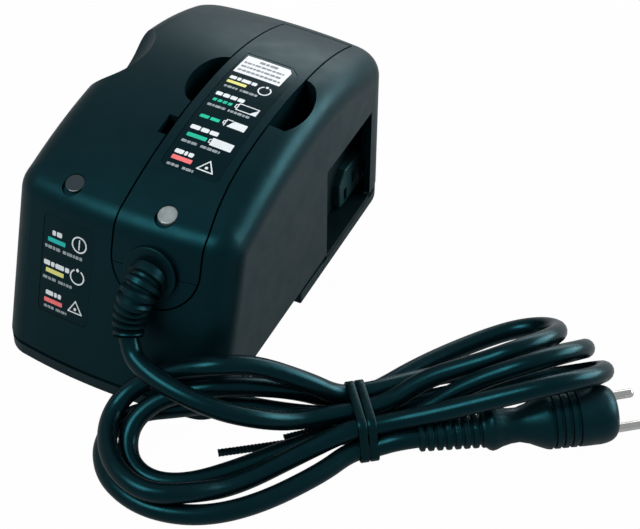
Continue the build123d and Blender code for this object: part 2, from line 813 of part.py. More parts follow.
def arc_or_line(start, way, end):
    if start.sub(end).length < 1e-6 or way.cross(end - start).length < 1e-4 * (end - start).length:
        return Edge.make_line(start, end)
    return Edge.make_tangent_arc(start, way, end)


def strain_relief():
    """Ribbed boot: a collar in the module's front, then ribs that shrink towards the cord."""
    root = Vector(*cord_outlet)
    lean = math.radians(front_lean)
    outward = Vector(0, -math.cos(lean), math.sin(lean))
    tip_way = unit(Vector(*lead_points[1]) - Vector(*boot_end))
    start_way = unit((0, -1.0, -0.12))
    path = Wire(biarc(root + outward * 1.0, start_way, Vector(*boot_end), tip_way))
    stations = []
    for rib in range(boot_ribs):
        first = rib / boot_ribs
        radius = boot_neck + (boot_tip - boot_neck) * first
        for step, size in ((0.0, -boot_groove), (0.04, 0.0), (0.085, 0.0), (0.1, -boot_groove)):
            stations.append((min(first + step, 1.0), radius + size))
    stations = [(0.0, boot_neck), (0.02, boot_neck)] + [s for s in stations if 0.02 < s[0] < 0.985]
    stations += [(0.93, boot_tip), (1.0, boot_tip)]
    stations.sort()
    circles = []
    for place, radius in stations:
        point = path @ place
        way = path % place
        side = Vector(1, 0, 0) - way * way.X
        circles.append((Plane(origin=point, x_dir=side, z_dir=way) * Circle(radius)).face())
    boot = loft(circles, ruled=True)
    plane = Plane(origin=cord_outlet, x_dir=(1, 0, 0), z_dir=outward)
    collar = plane * Pos(0, 0, -5.5) * Cylinder(boot_neck + 0.2, 6.6, align=LOW)
    flange = plane * Pos(0, 0, 0.05) * Cylinder(boot_root, 1.2, align=LOW)
    return boot + collar + fillet(flange.edges().sort_by(Axis.Z)[-1], 0.5)


def corner_radii(points):
    """The largest arc at each corner of a route that its two runs leave room for."""
    radii = []
    for before, corner, after in zip(points, points[1:], points[2:]):
        first = Vector(*corner) - Vector(*before)
        second = Vector(*after) - Vector(*corner)
        half_turn = math.radians(first.get_angle(second)) / 2
        radii.append(facet_share * min(first.length, second.length) / math.tan(half_turn))
    return radii


tie_way = Vector(math.cos(math.radians(tie_angle)), math.sin(math.radians(tie_angle)), 0)
tie_across = Vector(-tie_way.Y, tie_way.X, 0)


def tied_place(step, high):
    """Centre of one strand under the strap, counted in half pitches across the hank."""
    height = high_strand if high else low_strand
    return Vector(*tie_place) + tie_across * (strand_pitch / 2 * step) + Vector(0, 0, height)


def near_place(turn):
    return tied_place(-turn, turn % 2 == 0)


def far_place(turn):
    return tied_place(turns - turn, turn % 2 == 1)


plug_way = unit(Vector(*plug_end) - Vector(*plug_start))
straight = cord + 0.9


def hank_knots():
    """Points on the hank's centre line, with a direction where a strand has to run straight."""
    out = unit(fold_out)
    side = unit(fold_side)
    knots = [(near_place(0) - tie_way * straight, tie_way), (near_place(0) + tie_way * straight, tie_way)]
    for turn in range(turns):
        knots += [(Vector(*point), None) for point in near_rise[turn]]
        centre = Vector(*fold_tips[turn]) - out * fold_radius
        for eighth in range(5):
            angle = math.radians(90 - 45 * eighth)
            point = centre + out * (fold_radius * math.cos(angle)) + side * (fold_radius * math.sin(angle))
            knots.append((point, out * math.sin(angle) - side * math.cos(angle)))
        knots.append((Vector(*far_fall[turn]), None))
        for step in (near_straight[0], -near_straight[0]):
            knots.append((far_place(turn) + tie_way * step, -tie_way))
        knots += [(Vector(*point), None) for point in left_turns[turn]]
        knots.append((near_place(turn + 1) - tie_way * near_straight[0], tie_way))
        knots.append((near_place(turn + 1) + tie_way * near_straight[turn], tie_way))
    knots.append((Vector(*plug_start) - plug_way * (cord + 0.4), plug_way))
    knots.append((Vector(*plug_start), plug_way))
    return knots


def hank_arcs():
    """The hank's centre line as tangent arcs through its knots."""
    knots = hank_knots()
    ways = []
    for index, (point, way) in enumerate(knots):
        if way is None:
            back = point - knots[index - 1][0]
            ahead = knots[index + 1][0] - point
            way = back * (ahead.length / back.length) + ahead * (back.length / ahead.length)
        ways.append(way.normalized())
    arcs = []
    for index in range(len(knots) - 1):
        arcs += biarc(knots[index][0], ways[index], knots[index + 1][0], ways[index + 1])
    return arcs


def least_gap(arcs, diameter):
    """Smallest space between a tube's own turns, measured on points along its line."""
    points = []
    travelled = 0.0
    for arc in arcs:
        count = max(2, int(arc.length / 2.5))
        points += [(travelled + arc.length * n / count, *tuple(arc @ (n / count))) for n in range(count)]
        travelled += arc.length
    least = 1e9
    for index, first in enumerate(points):
        for second in points[index + 1:]:
            if second[0] - first[0] > 3.5 * diameter:
                least = min(least, math.dist(first[1:], second[1:]))
    return least - diameter


def tube(path, name):
    """A cord's tube along a path, with its volume compared with section times length."""
    section = Plane(origin=path @ 0, z_dir=path % 0) * Circle(cord / 2)
    solid = sweep(section, path=path)
    expected = math.pi * cord ** 2 / 4 * path.length
    print(name, "length", round(path.length, 1), "volume / expected", round(solid.volume / expected, 5))
    return solid


def cord_lead():
    """Free stretch from the boot's tip to the tie."""
    last = near_place(0) - tie_way * straight
    points = [Vector(*point) for point in lead_points] + [last - tie_way * end_run, last]
    radii = corner_radii([tuple(point) for point in points])
    print("lead radii", [round(radius, 1) for radius in radii])
    return tube(Wire(FilletPolyline(*points, radius=radii).edges()), "cord_lead")


def cord_hank():
    """The whole hank as one unbroken tube that ends in the plug."""
    arcs = hank_arcs()
    print("least gap of the hank to itself", round(least_gap(arcs, cord), 2))
    return tube(Wire(arcs), "cord_hank")


def cord_tie():
    """Flat strap closed round the seven strands, with a small head on its upper side."""
    half_low = strand_pitch * turns / 2 + cord / 2 + strap_gap
    half_high = strand_pitch + cord / 2 + strap_gap
    top = high_strand + cord / 2 + strap_gap
    bottom = low_strand - cord / 2 - strap_gap + 0.1
    plane = Plane(origin=tie_place, x_dir=tie_across, z_dir=tie_way)
    inside = Polygon(
        (-half_low, bottom), (half_low, bottom), (half_low, low_strand + 2.2), (half_high, top),
        (-half_high, top), (-half_low, low_strand + 2.2), align=None,
    )
    inside = fillet(inside.vertices(), 2.4)
    outside = offset(inside, strap_thick)
    strap = extrude(plane * (outside - inside), strap_width / 2, both=True)
    head = Box(5.4, 3.0, 6.0).moved(Location((-3.0, top + strap_thick + 1.3, 0)))
    head = fillet(head.edges(), 0.7)
    return strap + plane * head


def plug_plane():
    """Plane at the plug's cord end, looking along the plug, with X through its pins."""
    level = Vector(-plug_way.Y, plug_way.X, 0).normalized()
    roll = math.radians(pin_roll)
    across = level * math.cos(roll) + plug_way.cross(level) * math.sin(roll)
    return Plane(origin=plug_start, x_dir=across, z_dir=plug_way)


def plug_body():
    """Moulded plug: ribbed tail, thumb stop, waist, grip grooves and a rounded head."""
    total = (Vector(*plug_end) - Vector(*plug_start)).length
    outline = [(0, 0), (boot_tip - 0.4, 0)]
    for rib in range(plug_ribs):
        start = plug_rib_end * (rib + 0.55) / plug_ribs
        radius = boot_tip - 0.4 + 1.5 * rib / plug_ribs
        outline += [(radius, start), (radius - 1.0, start + 0.1), (radius - 1.0, start + 1.3), (radius + 0.2, start + 1.4)]
    outline += [(radius_here, place) for place, radius_here in plug_form]
    for groove in range(grip_grooves):
        start = grip_start + groove * grip_pitch
        radius = head_radius - 0.5 + 0.12 * groove
        outline += [(radius, start), (radius - grip_depth, start + 0.25), (radius - grip_depth, start + 1.0)]
        outline += [(radius, start + 1.25)]
    outline += [(head_radius, grip_start + grip_grooves * grip_pitch), (head_radius, total - 6.0)]
    with BuildSketch(Plane.XZ) as profile:
        with BuildLine():
            Polyline(*outline)
            ThreePointArc((head_radius, total - 6.0), (head_radius - 1.6, total - 2.0), (head_radius - 5.2, total))
            Polyline((head_radius - 5.2, total), (0, total), (0, 0))
        make_face()
    body = revolve(profile.sketch, Axis.Z, 360)
    for side in (-1, 1):
        body -= Pos(side * pin_spacing / 2, 0, total) * Cylinder(pin_radius + 0.05, 24)
    return plug_plane() * body


def plug_pins():
    """Two round pins with domed tips, seated in the plug's head."""
    total = (Vector(*plug_end) - Vector(*plug_start)).length
    pin = Cylinder(pin_radius, 10 + pin_length, align=LOW)
    pin = fillet(pin.edges().sort_by(Axis.Z)[-1], pin_radius - 0.2)
    pins = [Pos(side * pin_spacing / 2, 0, total - 10) * pin for side in (-1, 1)]
    return plug_plane() * Compound(pins)


def write(name, shape):
    solids = shape.solids()
    export_step(Compound(list(solids)) if len(solids) > 1 else solids[0], f"parts/{name}.step")
    print(name, len(solids), "solids", round(sum(solid.volume for solid in solids)), "mm3")


def main():
    shell = outer_shell()
    write("outer_shell", shell)
    for build in (
        base_tray,
        round_feet,
        recess_insert,
        outlet_socket,
        outlet_contacts,
        front_label_plate,
        module_label_plate,
        module_top_cover,
        module_bottom_tub,
        bay_contact_block,
        bay_contact_blades,
        base_board,
        base_capacitor,
        base_relay,
        base_fuse,
        fuse_clips,
        base_transformer_core,
        base_transformer_winding,
        board_screws,
        housing_screws,
        module_board,
        module_transformer_core,
        module_transformer_winding,
        module_capacitors,
        module_heat_sink,
        module_transistor,
        module_contact_clips,
        strain_relief,
        cord_lead,
        cord_hank,
        cord_tie,
        plug_body,
        plug_pins,
    ):
        write(build.__name__, build())
    write("base_lens", light_pipe(base_lens_x))
    write("module_lens", light_pipe(module_lens_x))
    write("base_led", indicator_led(base_lens_x))
    write("module_led", indicator_led(module_lens_x))
    write("base_lens_sleeve", lens_sleeve(base_lens_x))
    write("module_lens_sleeve", lens_sleeve(module_lens_x))


main()
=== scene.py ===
import bpy
import bmesh
import math
from mathutils import Matrix, Vector


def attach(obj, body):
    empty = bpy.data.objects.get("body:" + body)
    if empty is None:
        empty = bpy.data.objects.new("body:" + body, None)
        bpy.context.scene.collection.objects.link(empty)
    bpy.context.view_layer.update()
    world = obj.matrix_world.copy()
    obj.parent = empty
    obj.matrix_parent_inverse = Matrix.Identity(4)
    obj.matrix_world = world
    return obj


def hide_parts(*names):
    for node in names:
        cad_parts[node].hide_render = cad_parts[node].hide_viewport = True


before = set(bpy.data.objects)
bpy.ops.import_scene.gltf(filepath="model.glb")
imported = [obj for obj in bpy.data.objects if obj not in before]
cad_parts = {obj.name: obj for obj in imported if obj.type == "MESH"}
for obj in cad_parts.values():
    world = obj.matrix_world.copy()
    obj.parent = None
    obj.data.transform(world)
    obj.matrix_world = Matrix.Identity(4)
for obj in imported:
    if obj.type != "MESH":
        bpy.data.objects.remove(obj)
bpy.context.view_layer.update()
mm = 0.001


def link(obj):
    bpy.context.scene.collection.objects.link(obj)
    return obj


def vec(point):
    return Vector(point) * mm


# Camera, fitted to the housing's edges: degrees and millimetres
cameraView = {
    "azimuth": 26.46, "elevation": 43.32, "roll": 0.32, "place": (262.54, -428.21, 471.9), "lens": 99.18,
    "sensor": 36, "nearest": 0.01,
}


def addCamera():
    azimuth, elevation, roll = (math.radians(cameraView[k]) for k in ("azimuth", "elevation", "roll"))
    right = Vector((math.cos(azimuth), math.sin(azimuth), 0))
    sight = Vector(
        (-math.sin(azimuth) * math.cos(elevation), math.cos(azimuth) * math.cos(elevation), -math.sin(elevation))
    )
    up = right.cross(sight)
    across = right * math.cos(roll) + up * math.sin(roll)
    upward = up * math.cos(roll) - right * math.sin(roll)
    data = bpy.data.cameras.new("camera")
    data.sensor_fit = "HORIZONTAL"
    data.sensor_width = cameraView["sensor"]
    data.lens = cameraView["lens"]
    data.clip_start = cameraView["nearest"]
    camera = link(bpy.data.objects.new("camera", data))
    matrix = Matrix((across, upward, -sight)).transposed().to_4x4()
    matrix.translation = vec(cameraView["place"])
    camera.matrix_world = matrix
    bpy.context.scene.camera = camera


addCamera()
print("camera placed")


# Shader helpers
def newMaterial(name):
    material = bpy.data.materials.new(name)
    material.use_nodes = True
    tree = material.node_tree
    return material, tree, tree.nodes["Principled BSDF"]


def addNode(tree, kind, **values):
    node = tree.nodes.new(kind)
    for key, value in values.items():
        if key in node.inputs:
            node.inputs[key].default_value = value
        else:
            setattr(node, key, value)
    return node


def noiseOn(tree, coords, scale, detail=2.0, stretch=None):
    noise = addNode(tree, "ShaderNodeTexNoise", Scale=scale, Detail=detail)
    source = coords
    if stretch:
        mapping = addNode(tree, "ShaderNodeMapping")
        mapping.inputs["Scale"].default_value = stretch
        tree.links.new(coords, mapping.inputs["Vector"])
        source = mapping.outputs["Vector"]
    tree.links.new(source, noise.inputs["Vector"])
    return noise.outputs["Fac"]


def rangeOf(tree, source, low, high, start=0.3, end=0.7):
    node = addNode(tree, "ShaderNodeMapRange")
    for index, value in enumerate((start, end, low, high)):
        node.inputs[index + 1].default_value = value
    tree.links.new(source, node.inputs[0])
    return node.outputs[0]


def mixOf(tree, source, first, second, low=0.3, high=0.7):
    ramp = tree.nodes.new("ShaderNodeValToRGB")
    ramp.color_ramp.elements[0].position = low
    ramp.color_ramp.elements[1].position = high
    ramp.color_ramp.elements[0].color = (*first, 1)
    ramp.color_ramp.elements[1].color = (*second, 1)
    tree.links.new(source, ramp.inputs["Fac"])
    return ramp.outputs["Color"]


# A moulded, plated or coated surface: cloudy colour between two shades, uneven gloss and a fine grain
def surface(name, first, second, rough, cloud=30.0, grain=1800.0, depth=0.00002, stretch=None, **sockets):
    material, tree, shader = newMaterial(name)
    coords = addNode(tree, "ShaderNodeTexCoord").outputs["Object"]
    tree.links.new(mixOf(tree, noiseOn(tree, coords, cloud, 3.0), first, second), shader.inputs["Base Color"])
    patches = noiseOn(tree, coords, cloud * 5, 4.0, stretch)
    tree.links.new(rangeOf(tree, patches, rough[0], rough[1]), shader.inputs["Roughness"])
    bump = addNode(tree, "ShaderNodeBump", Strength=0.6, Distance=depth)
    tree.links.new(noiseOn(tree, coords, grain, 2.0, stretch), bump.inputs["Height"])
    tree.links.new(bump.outputs["Normal"], shader.inputs["Normal"])
    for key, value in sockets.items():
        shader.inputs[key.replace("_", " ")].default_value = value
    return material


tealTint = (0.12, 0.82, 1.0, 1)  # the dark mouldings reflect a little blue-green
finish = {
    "shell": surface(
        "shellPlastic", (0.0009, 0.0066, 0.0086), (0.0016, 0.009, 0.0116), (0.34, 0.42),
        Specular_IOR_Level=0.26, Specular_Tint=tealTint,
    ),
    "module": surface(
        "modulePlastic", (0.0009, 0.0064, 0.0088), (0.0017, 0.0088, 0.0118), (0.34, 0.42),
        Specular_IOR_Level=0.26, Specular_Tint=tealTint,
    ),
    "tray": surface(
        "trayPlastic", (0.001, 0.0072, 0.0092), (0.0016, 0.0098, 0.0122), (0.38, 0.48),
        Specular_IOR_Level=0.26, Specular_Tint=tealTint,
    ),
    # the recess insert is the shell's plastic, painted much darker than the shell as painted shade for the depth of the
    # recess
    "recess": surface(
        "recessPaintedShade", (0.0006, 0.002, 0.0025), (0.001, 0.003, 0.0036), (0.45, 0.55),
        Specular_IOR_Level=0.25, Specular_Tint=tealTint,
    ),
    "outlet": surface(
        "outletPlastic", (0.007, 0.024, 0.026), (0.01, 0.031, 0.033), (0.36, 0.46),
        Specular_IOR_Level=0.3, Specular_Tint=tealTint,
    ),
    "label": surface(
        "labelFilm", (0.0008, 0.0035, 0.005), (0.0014, 0.0052, 0.0072), (0.24, 0.32), grain=900.0, depth=0.00001,
        Specular_IOR_Level=0.3, Specular_Tint=tealTint,
    ),
    "cord": surface(
        "cordSheath", (0.0007, 0.0034, 0.0046), (0.0013, 0.005, 0.0066), (0.24, 0.32), cloud=60.0,
        Specular_IOR_Level=0.34, Specular_Tint=tealTint,
    ),
    "boot": surface(
        "bootRubber", (0.0008, 0.0038, 0.005), (0.0014, 0.0054, 0.007), (0.36, 0.48), cloud=90.0,
        Specular_IOR_Level=0.34, Specular_Tint=tealTint,
    ),
    "plug": surface(
        "plugPlastic", (0.0008, 0.0042, 0.0056), (0.0014, 0.006, 0.0078), (0.34, 0.46), cloud=80.0,
        Specular_IOR_Level=0.34, Specular_Tint=tealTint,
    ),
    "tie": surface(
        "tiePlastic", (0.0008, 0.003, 0.0038), (0.0016, 0.0048, 0.006), (0.26, 0.38), cloud=120.0,
        Specular_IOR_Level=0.3, Specular_Tint=tealTint,
    ),
    "pins": surface(
        "pinNickel", (0.62, 0.61, 0.57), (0.74, 0.73, 0.69), (0.16, 0.28), cloud=200.0, grain=3000.0,
        stretch=(1, 1, 0.15), Metallic=1.0,
    ),
    "feet": surface("footRubber", (0.012, 0.012, 0.012), (0.02, 0.02, 0.02), (0.7, 0.85), cloud=150.0),
    "lensDark": surface(
        "lensSmoke", (0.006, 0.016, 0.02), (0.012, 0.028, 0.034), (0.08, 0.14), grain=600.0, depth=0.000005,
        Specular_IOR_Level=0.6, Coat_Weight=0.6, Coat_Roughness=0.06,
    ),
    "lensFrost": surface(
        "lensFrost", (0.2, 0.23, 0.235), (0.3, 0.34, 0.345), (0.16, 0.26), cloud=260.0, grain=900.0, depth=0.00001,
        Specular_IOR_Level=0.6, Coat_Weight=0.5, Coat_Roughness=0.08,
    ),
    "brass": surface(
        "contactBrass", (0.6, 0.42, 0.16), (0.72, 0.54, 0.24), (0.25, 0.4), cloud=220.0, Metallic=1.0,
    ),
    "board": surface("boardLacquer", (0.012, 0.09, 0.035), (0.02, 0.13, 0.05), (0.3, 0.42), cloud=140.0),
    "skin": surface("capacitorSkin", (0.012, 0.02, 0.07), (0.02, 0.03, 0.1), (0.28, 0.4), cloud=160.0),
    "relay": surface("relayCase", (0.02, 0.05, 0.16), (0.03, 0.07, 0.2), (0.3, 0.42), cloud=120.0),
    "fuse": surface(
        "fuseGlass", (0.75, 0.8, 0.82), (0.85, 0.9, 0.92), (0.04, 0.1), cloud=200.0, depth=0.000002,
        Transmission_Weight=0.8,
    ),
    "steel": surface(
        "stackedSteel", (0.2, 0.2, 0.21), (0.32, 0.32, 0.33), (0.35, 0.5), cloud=160.0, grain=2500.0,
        stretch=(0.1, 0.1, 1), Metallic=0.9,
    ),
    "ferrite": surface("ferrite", (0.03, 0.03, 0.032), (0.05, 0.05, 0.054), (0.5, 0.65), cloud=300.0),
    "winding": surface(
        "windingTape", (0.5, 0.34, 0.04), (0.64, 0.46, 0.08), (0.3, 0.42), cloud=120.0, grain=1200.0,
        stretch=(0.2, 0.2, 1.6),
    ),
    "screw": surface(
        "screwZinc", (0.42, 0.42, 0.44), (0.56, 0.56, 0.58), (0.28, 0.42), cloud=260.0, Metallic=1.0,
    ),
    "sink": surface(
        "sinkAluminium", (0.58, 0.59, 0.61), (0.7, 0.71, 0.73), (0.3, 0.44), cloud=200.0, stretch=(0.3, 0.3, 2),
        Metallic=1.0,
    ),
    "inner": surface("innerPlastic", (0.02, 0.021, 0.024), (0.035, 0.036, 0.04), (0.42, 0.55), cloud=90.0),
    "led": surface(
        "ledDome", (0.62, 0.68, 0.7), (0.76, 0.8, 0.82), (0.1, 0.2), cloud=260.0, depth=0.000004,
        Transmission_Weight=0.4,
    ),
    "white": surface("printWhite", (0.7, 0.74, 0.76), (0.8, 0.84, 0.86), (0.35, 0.45), cloud=300.0, depth=0.000006),
    "faint": surface("printFaint", (0.2, 0.24, 0.26), (0.34, 0.38, 0.4), (0.35, 0.45), cloud=500.0, depth=0.000006),
    "sticker": surface(
        "stickerPaper", (0.7, 0.73, 0.75), (0.8, 0.82, 0.84), (0.45, 0.6), cloud=120.0, grain=2400.0, depth=0.000012,
    ),
    "ink": surface("stickerInk", (0.16, 0.18, 0.19), (0.28, 0.3, 0.31), (0.5, 0.6), cloud=600.0, depth=0.000006),
    "green": surface("printGreen", (0.008, 0.46, 0.29), (0.012, 0.56, 0.36), (0.35, 0.45), cloud=300.0, depth=0.000006),
    "cyan": surface("printCyan", (0.004, 0.42, 0.38), (0.008, 0.5, 0.45), (0.35, 0.45), cloud=300.0, depth=0.000006),
    "yellow": surface("printYellow", (0.7, 0.68, 0.18), (0.8, 0.78, 0.26), (0.35, 0.45), cloud=300.0, depth=0.000006),
    "red": surface("printRed", (0.84, 0.12, 0.13), (0.92, 0.2, 0.2), (0.35, 0.45), cloud=300.0, depth=0.000006),
}
print("materials made")

# CAD nodes that keep their own shape and get a finish
nodeFinish = {
    "outer_shell": "shell", "base_tray": "tray", "round_feet": "feet", "recess_insert": "recess",
    "outlet_socket": "outlet", "outlet_contacts": "brass", "front_label_plate": "label",
    "module_label_plate": "label", "module_top_cover": "module", "module_bottom_tub": "module",
    "bay_contact_block": "inner", "bay_contact_blades": "brass", "base_board": "board", "base_capacitor": "skin",
    "base_relay": "relay", "base_fuse": "fuse", "fuse_clips": "brass", "base_transformer_core": "steel",
    "base_transformer_winding": "winding", "board_screws": "screw", "housing_screws": "screw",
    "module_board": "board", "module_transformer_core": "ferrite", "module_transformer_winding": "winding",
    "module_capacitors": "skin", "module_heat_sink": "sink", "module_transistor": "inner",
    "module_contact_clips": "brass", "strain_relief": "boot", "base_lens": "lensDark", "module_lens": "lensFrost",
    "base_led": "led", "module_led": "led", "base_lens_sleeve": "inner", "module_lens_sleeve": "inner",
    "plug_pins": "pins",
}
for nodeName, look in nodeFinish.items():
    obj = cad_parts[nodeName]
    obj.data.materials.clear()
    obj.data.materials.append(finish[look])
print("CAD nodes finished")

# Mains cord in millimetres: the lead, then each turn's rise, fold, fall and left loop, with straight runs at the tie
cordValues = {
    "diameter": 7.1,
    "lead": (
        (14.0, -76.9, 36.5), (16.3, -79.5, 32.1), (21.0, -82.2, 30.5), (29.4, -84.7, 29.2), (41.4, -85.6, 27.4),
        (53.9, -83.8, 24.6), (64.6, -77.4, 19.8), (71.7, -68.9, 13.8),
    ),
    "tie": (91.0, -51.0, 0.0), "tieAngle": 38.4, "pitch": 8.1, "low": 4.75, "high": 11.25,
    "rise": (
        ((106.9, -31.6, 17.0), (122.4, -21.9, 22.9)),
        ((107.6, -42.0, 7.4), (122.7, -31.3, 21.6)),
        ((107.4, -50.1, 13.7), (118.4, -45.1, 18.2), (134.2, -37.9, 25.5)),
    ),
    "folds": (
        ((133.7, -15.9, 29.3), (141.8, -1.1, 25.7), (140.6, 13.1, 16.6), (129.9, 18.4, 9.0), (116.8, 11.6, 4.6)),
        ((141.8, -21.8, 32.4), (152.9, -5.6, 28.8), (153.3, 8.0, 17.6), (141.4, 9.8, 7.0), (125.8, -1.2, 4.1)),
        ((152.8, -27.4, 32.3), (163.1, -12.9, 27.5), (163.0, 0.6, 18.3), (149.6, 1.4, 8.0), (133.5, -6.3, 4.0)),
    ),
    "fall": ((98.8, -13.4, 3.7), (106.2, -21.8, 8.6), (112.8, -24.0, 3.9)),
    "leadIn": 17.0, "leadOut": 8.0, "tieStraight": 6.0, "nearStraight": (6.0, 1.0, 2.0), "plugStraight": 7.5,
    "left": (
        (
            (65.4, -55.0, 14.0), (49.9, -71.4, 23.6), (36.9, -78.9, 21.4), (26.6, -84.2, 16.0), (21.7, -93.0, 9.6),
            (27.0, -103.1, 5.0), (37.7, -106.9, 3.9), (50.2, -101.9, 3.8), (63.1, -87.6, 4.0), (75.7, -69.3, 3.7),
        ),
        (
            (72.7, -54.9, 20.6), (56.6, -64.4, 30.8), (46.9, -73.3, 34.0), (30.9, -77.3, 27.6), (17.9, -83.0, 18.6),
            (14.4, -92.6, 12.9), (20.0, -105.3, 11.6), (30.4, -114.0, 11.4), (43.4, -117.0, 11.3),
            (55.8, -110.0, 10.6), (65.6, -96.0, 4.8), (79.7, -75.4, 7.6),
        ),
        (
            (67.5, -60.6, 7.4), (47.5, -71.0, 13.8), (34.2, -79.2, 12.0), (20.0, -83.2, 7.0), (13.0, -92.4, 4.0),
            (16.8, -104.8, 3.7), (27.5, -114.3, 3.7), (43.6, -117.6, 3.7), (60.9, -112.5, 3.7),
            (75.6, -99.3, 3.8), (88.5, -77.6, 3.8),
        ),
    ),
    "plugStart": (113.5, -51.5, 9.0), "plugEnd": (170.6, -11.4, 11.2),
}
tieAngle = math.radians(cordValues["tieAngle"])
tieWay = Vector((math.cos(tieAngle), math.sin(tieAngle), 0))
tieAcross = Vector((-tieWay.y, tieWay.x, 0))
plugWay = (Vector(cordValues["plugEnd"]) - Vector(cordValues["plugStart"])).normalized()


def tiedPlace(step, high):
    height = cordValues["high"] if high else cordValues["low"]
    return Vector(cordValues["tie"]) + tieAcross * (cordValues["pitch"] / 2 * step) + Vector((0, 0, height))


def cordRoute():
    v = cordValues
    first = tiedPlace(0, True)
    points = [Vector(point) for point in v["lead"]]
    points += [first - tieWay * v["leadIn"], first + tieWay * v["leadOut"]]
    for turn in range(len(v["left"])):
        high = turn % 2 == 1  # every second turn lies in the tie's upper layer
        points += [Vector(point) for point in v["rise"][turn] + v["folds"][turn]]
        points.append(Vector(v["fall"][turn]))
        points += [tiedPlace(3 - turn, high) + tieWay * step for step in (v["tieStraight"], -v["tieStraight"])]
        points += [Vector(point) for point in v["left"][turn]]
        near = tiedPlace(-turn - 1, high)
        points += [near - tieWay * v["tieStraight"], near + tieWay * v["nearStraight"][turn]]
    start = Vector(v["plugStart"])
    return points + [start - plugWay * v["plugStraight"], start]


def addCurve(name, points, radius, material, resolution=10, bevel=6):
    curve = bpy.data.curves.new(name, "CURVE")
    curve.dimensions = "3D"
    spline = curve.splines.new("NURBS")
    spline.points.add(len(points) - 1)
    for knot, point in zip(spline.points, points):
        knot.co = (*vec(point), 1)
    spline.order_u = 3
    spline.use_endpoint_u = True
    spline.resolution_u = resolution
    curve.bevel_depth = radius * mm
    curve.bevel_resolution = bevel
    curve.use_fill_caps = True
    curve.materials.append(material)
    return link(bpy.data.objects.new(name, curve))


def lineOf(obj):  # the points of a curve's own centre line
    plain = obj.data.copy()
    plain.bevel_depth = 0
    probe = bpy.data.objects.new("probe", plain)
    mesh = bpy.data.meshes.new_from_object(probe)
    points = [v.co.copy() for v in mesh.vertices]
    bpy.data.objects.remove(probe)
    return points


mainsCord = addCurve("mainsCord", cordRoute(), cordValues["diameter"] / 2, finish["cord"])
cordLine = lineOf(mainsCord)


# Meshes from points and faces, and from rings of points
def meshObject(name, verts, faces, material, smooth=True):
    mesh = bpy.data.meshes.new(name)
    mesh.from_pydata([tuple(v) for v in verts], [], faces)
    mesh.validate()
    made = bmesh.new()
    made.from_mesh(mesh)
    bmesh.ops.recalc_face_normals(made, faces=made.faces)
    made.to_mesh(mesh)
    made.free()
    if smooth:
        mesh.shade_smooth()
        mesh.set_sharp_from_angle(angle=math.radians(38))
    mesh.materials.append(material)
    return link(bpy.data.objects.new(name, mesh))


def ringsMesh(name, rings, material, ends=True):
    count = len(rings[0])
    verts = [point for ring in rings for point in ring]
    faces = []
    for index in range(len(rings) - 1 if ends else len(rings)):
        base = index * count
        other = (index + 1) % len(rings) * count
        for k in range(count):
            after = (k + 1) % count
            faces.append((base + k, base + after, other + after, other + k))
    if ends:
        last = (len(rings) - 1) * count
        faces += [tuple(range(count - 1, -1, -1)), tuple(range(last, last + count))]
    return meshObject(name, verts, faces, material)


# Plug: half widths and half heights at distances from its cord end; the thumb stop is wider in one plane
plugValues = {
    "segments": 72, "mouth": 3.9, "mouthLip": 0.4,
    "ribs": 7, "ribEnd": 22.0, "ribTip": 5.0, "ribGrow": 1.5,
    "rib": ((-0.25, 0.0), (0.0, -0.2), (0.12, -1.0), (1.2, -1.0), (1.35, 0.0), (1.6, 0.2)),
    "form": (
        (23.2, 6.4, 6.6), (24.4, 7.0, 8.0), (25.6, 7.3, 8.7), (26.8, 7.1, 8.5), (29.0, 6.6, 7.2), (32.0, 6.2, 6.3),
        (35.0, 6.1, 6.1), (38.5, 7.0, 7.2), (41.5, 8.4, 8.7), (44.2, 9.6, 9.9), (45.2, 9.9, 10.1),
    ),
    "grooves": 4, "grooveStart": 46.0, "groovePitch": 2.9, "grooveRadius": 10.05, "grooveGrow": 0.1,
    "groove": ((-0.15, 0.0), (0.12, -0.85), (1.0, -0.85), (1.25, 0.0)),
    "head": ((58.0, 10.45), (63.5, 10.5)),
    "nose": 64.0, "noseLength": 5.7, "noseRadius": 10.4, "noseRound": 3.8, "noseSteps": 8, "face": (69.75, 6.0),
}


def plugStations():
    v = plugValues
    lip = v["ribTip"] - v["mouthLip"]
    stations = [(0.0, v["mouth"], v["mouth"]), (0.05, lip, lip), (0.5, v["ribTip"], v["ribTip"])]
    for rib in range(v["ribs"]):
        start = v["ribEnd"] * (rib + 0.55) / v["ribs"]
        radius = v["ribTip"] + v["ribGrow"] * rib / v["ribs"]
        stations += [(start + along, radius + rise, radius + rise) for along, rise in v["rib"]]
    stations += v["form"]
    for groove in range(v["grooves"]):
        start = v["grooveStart"] + groove * v["groovePitch"]
        radius = v["grooveRadius"] + v["grooveGrow"] * groove
        stations += [(start + along, radius + rise, radius + rise) for along, rise in v["groove"]]
    stations += [(along, radius, radius) for along, radius in v["head"]]
    for step in range(1, v["noseSteps"]):
        angle = math.radians(90 * step / v["noseSteps"])
        radius = v["noseRadius"] - v["noseRound"] * (1 - math.cos(angle))
        stations.append((v["nose"] + v["noseLength"] * math.sin(angle), radius, radius))
    return stations + [(v["face"][0], v["face"][1], v["face"][1])]


def addPlug():
    level = Vector((-plugWay.y, plugWay.x, 0)).normalized()
    upward = plugWay.cross(level)
    start = Vector(cordValues["plugStart"])
    rings = []
    for along, wide, high in plugStations():
        ring = []
        for k in range(plugValues["segments"]):
            angle = 2 * math.pi * k / plugValues["segments"]
            side, rise = level * (wide * math.cos(angle)), upward * (high * math.sin(angle))
            ring.append(vec(start + plugWay * along + side + rise))
        rings.append(ring)
    return ringsMesh("plugMoulding", rings, finish["plug"])


plugMoulding = addPlug()
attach(plugMoulding, "power_module")
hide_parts("plug_body")
print("plug made")

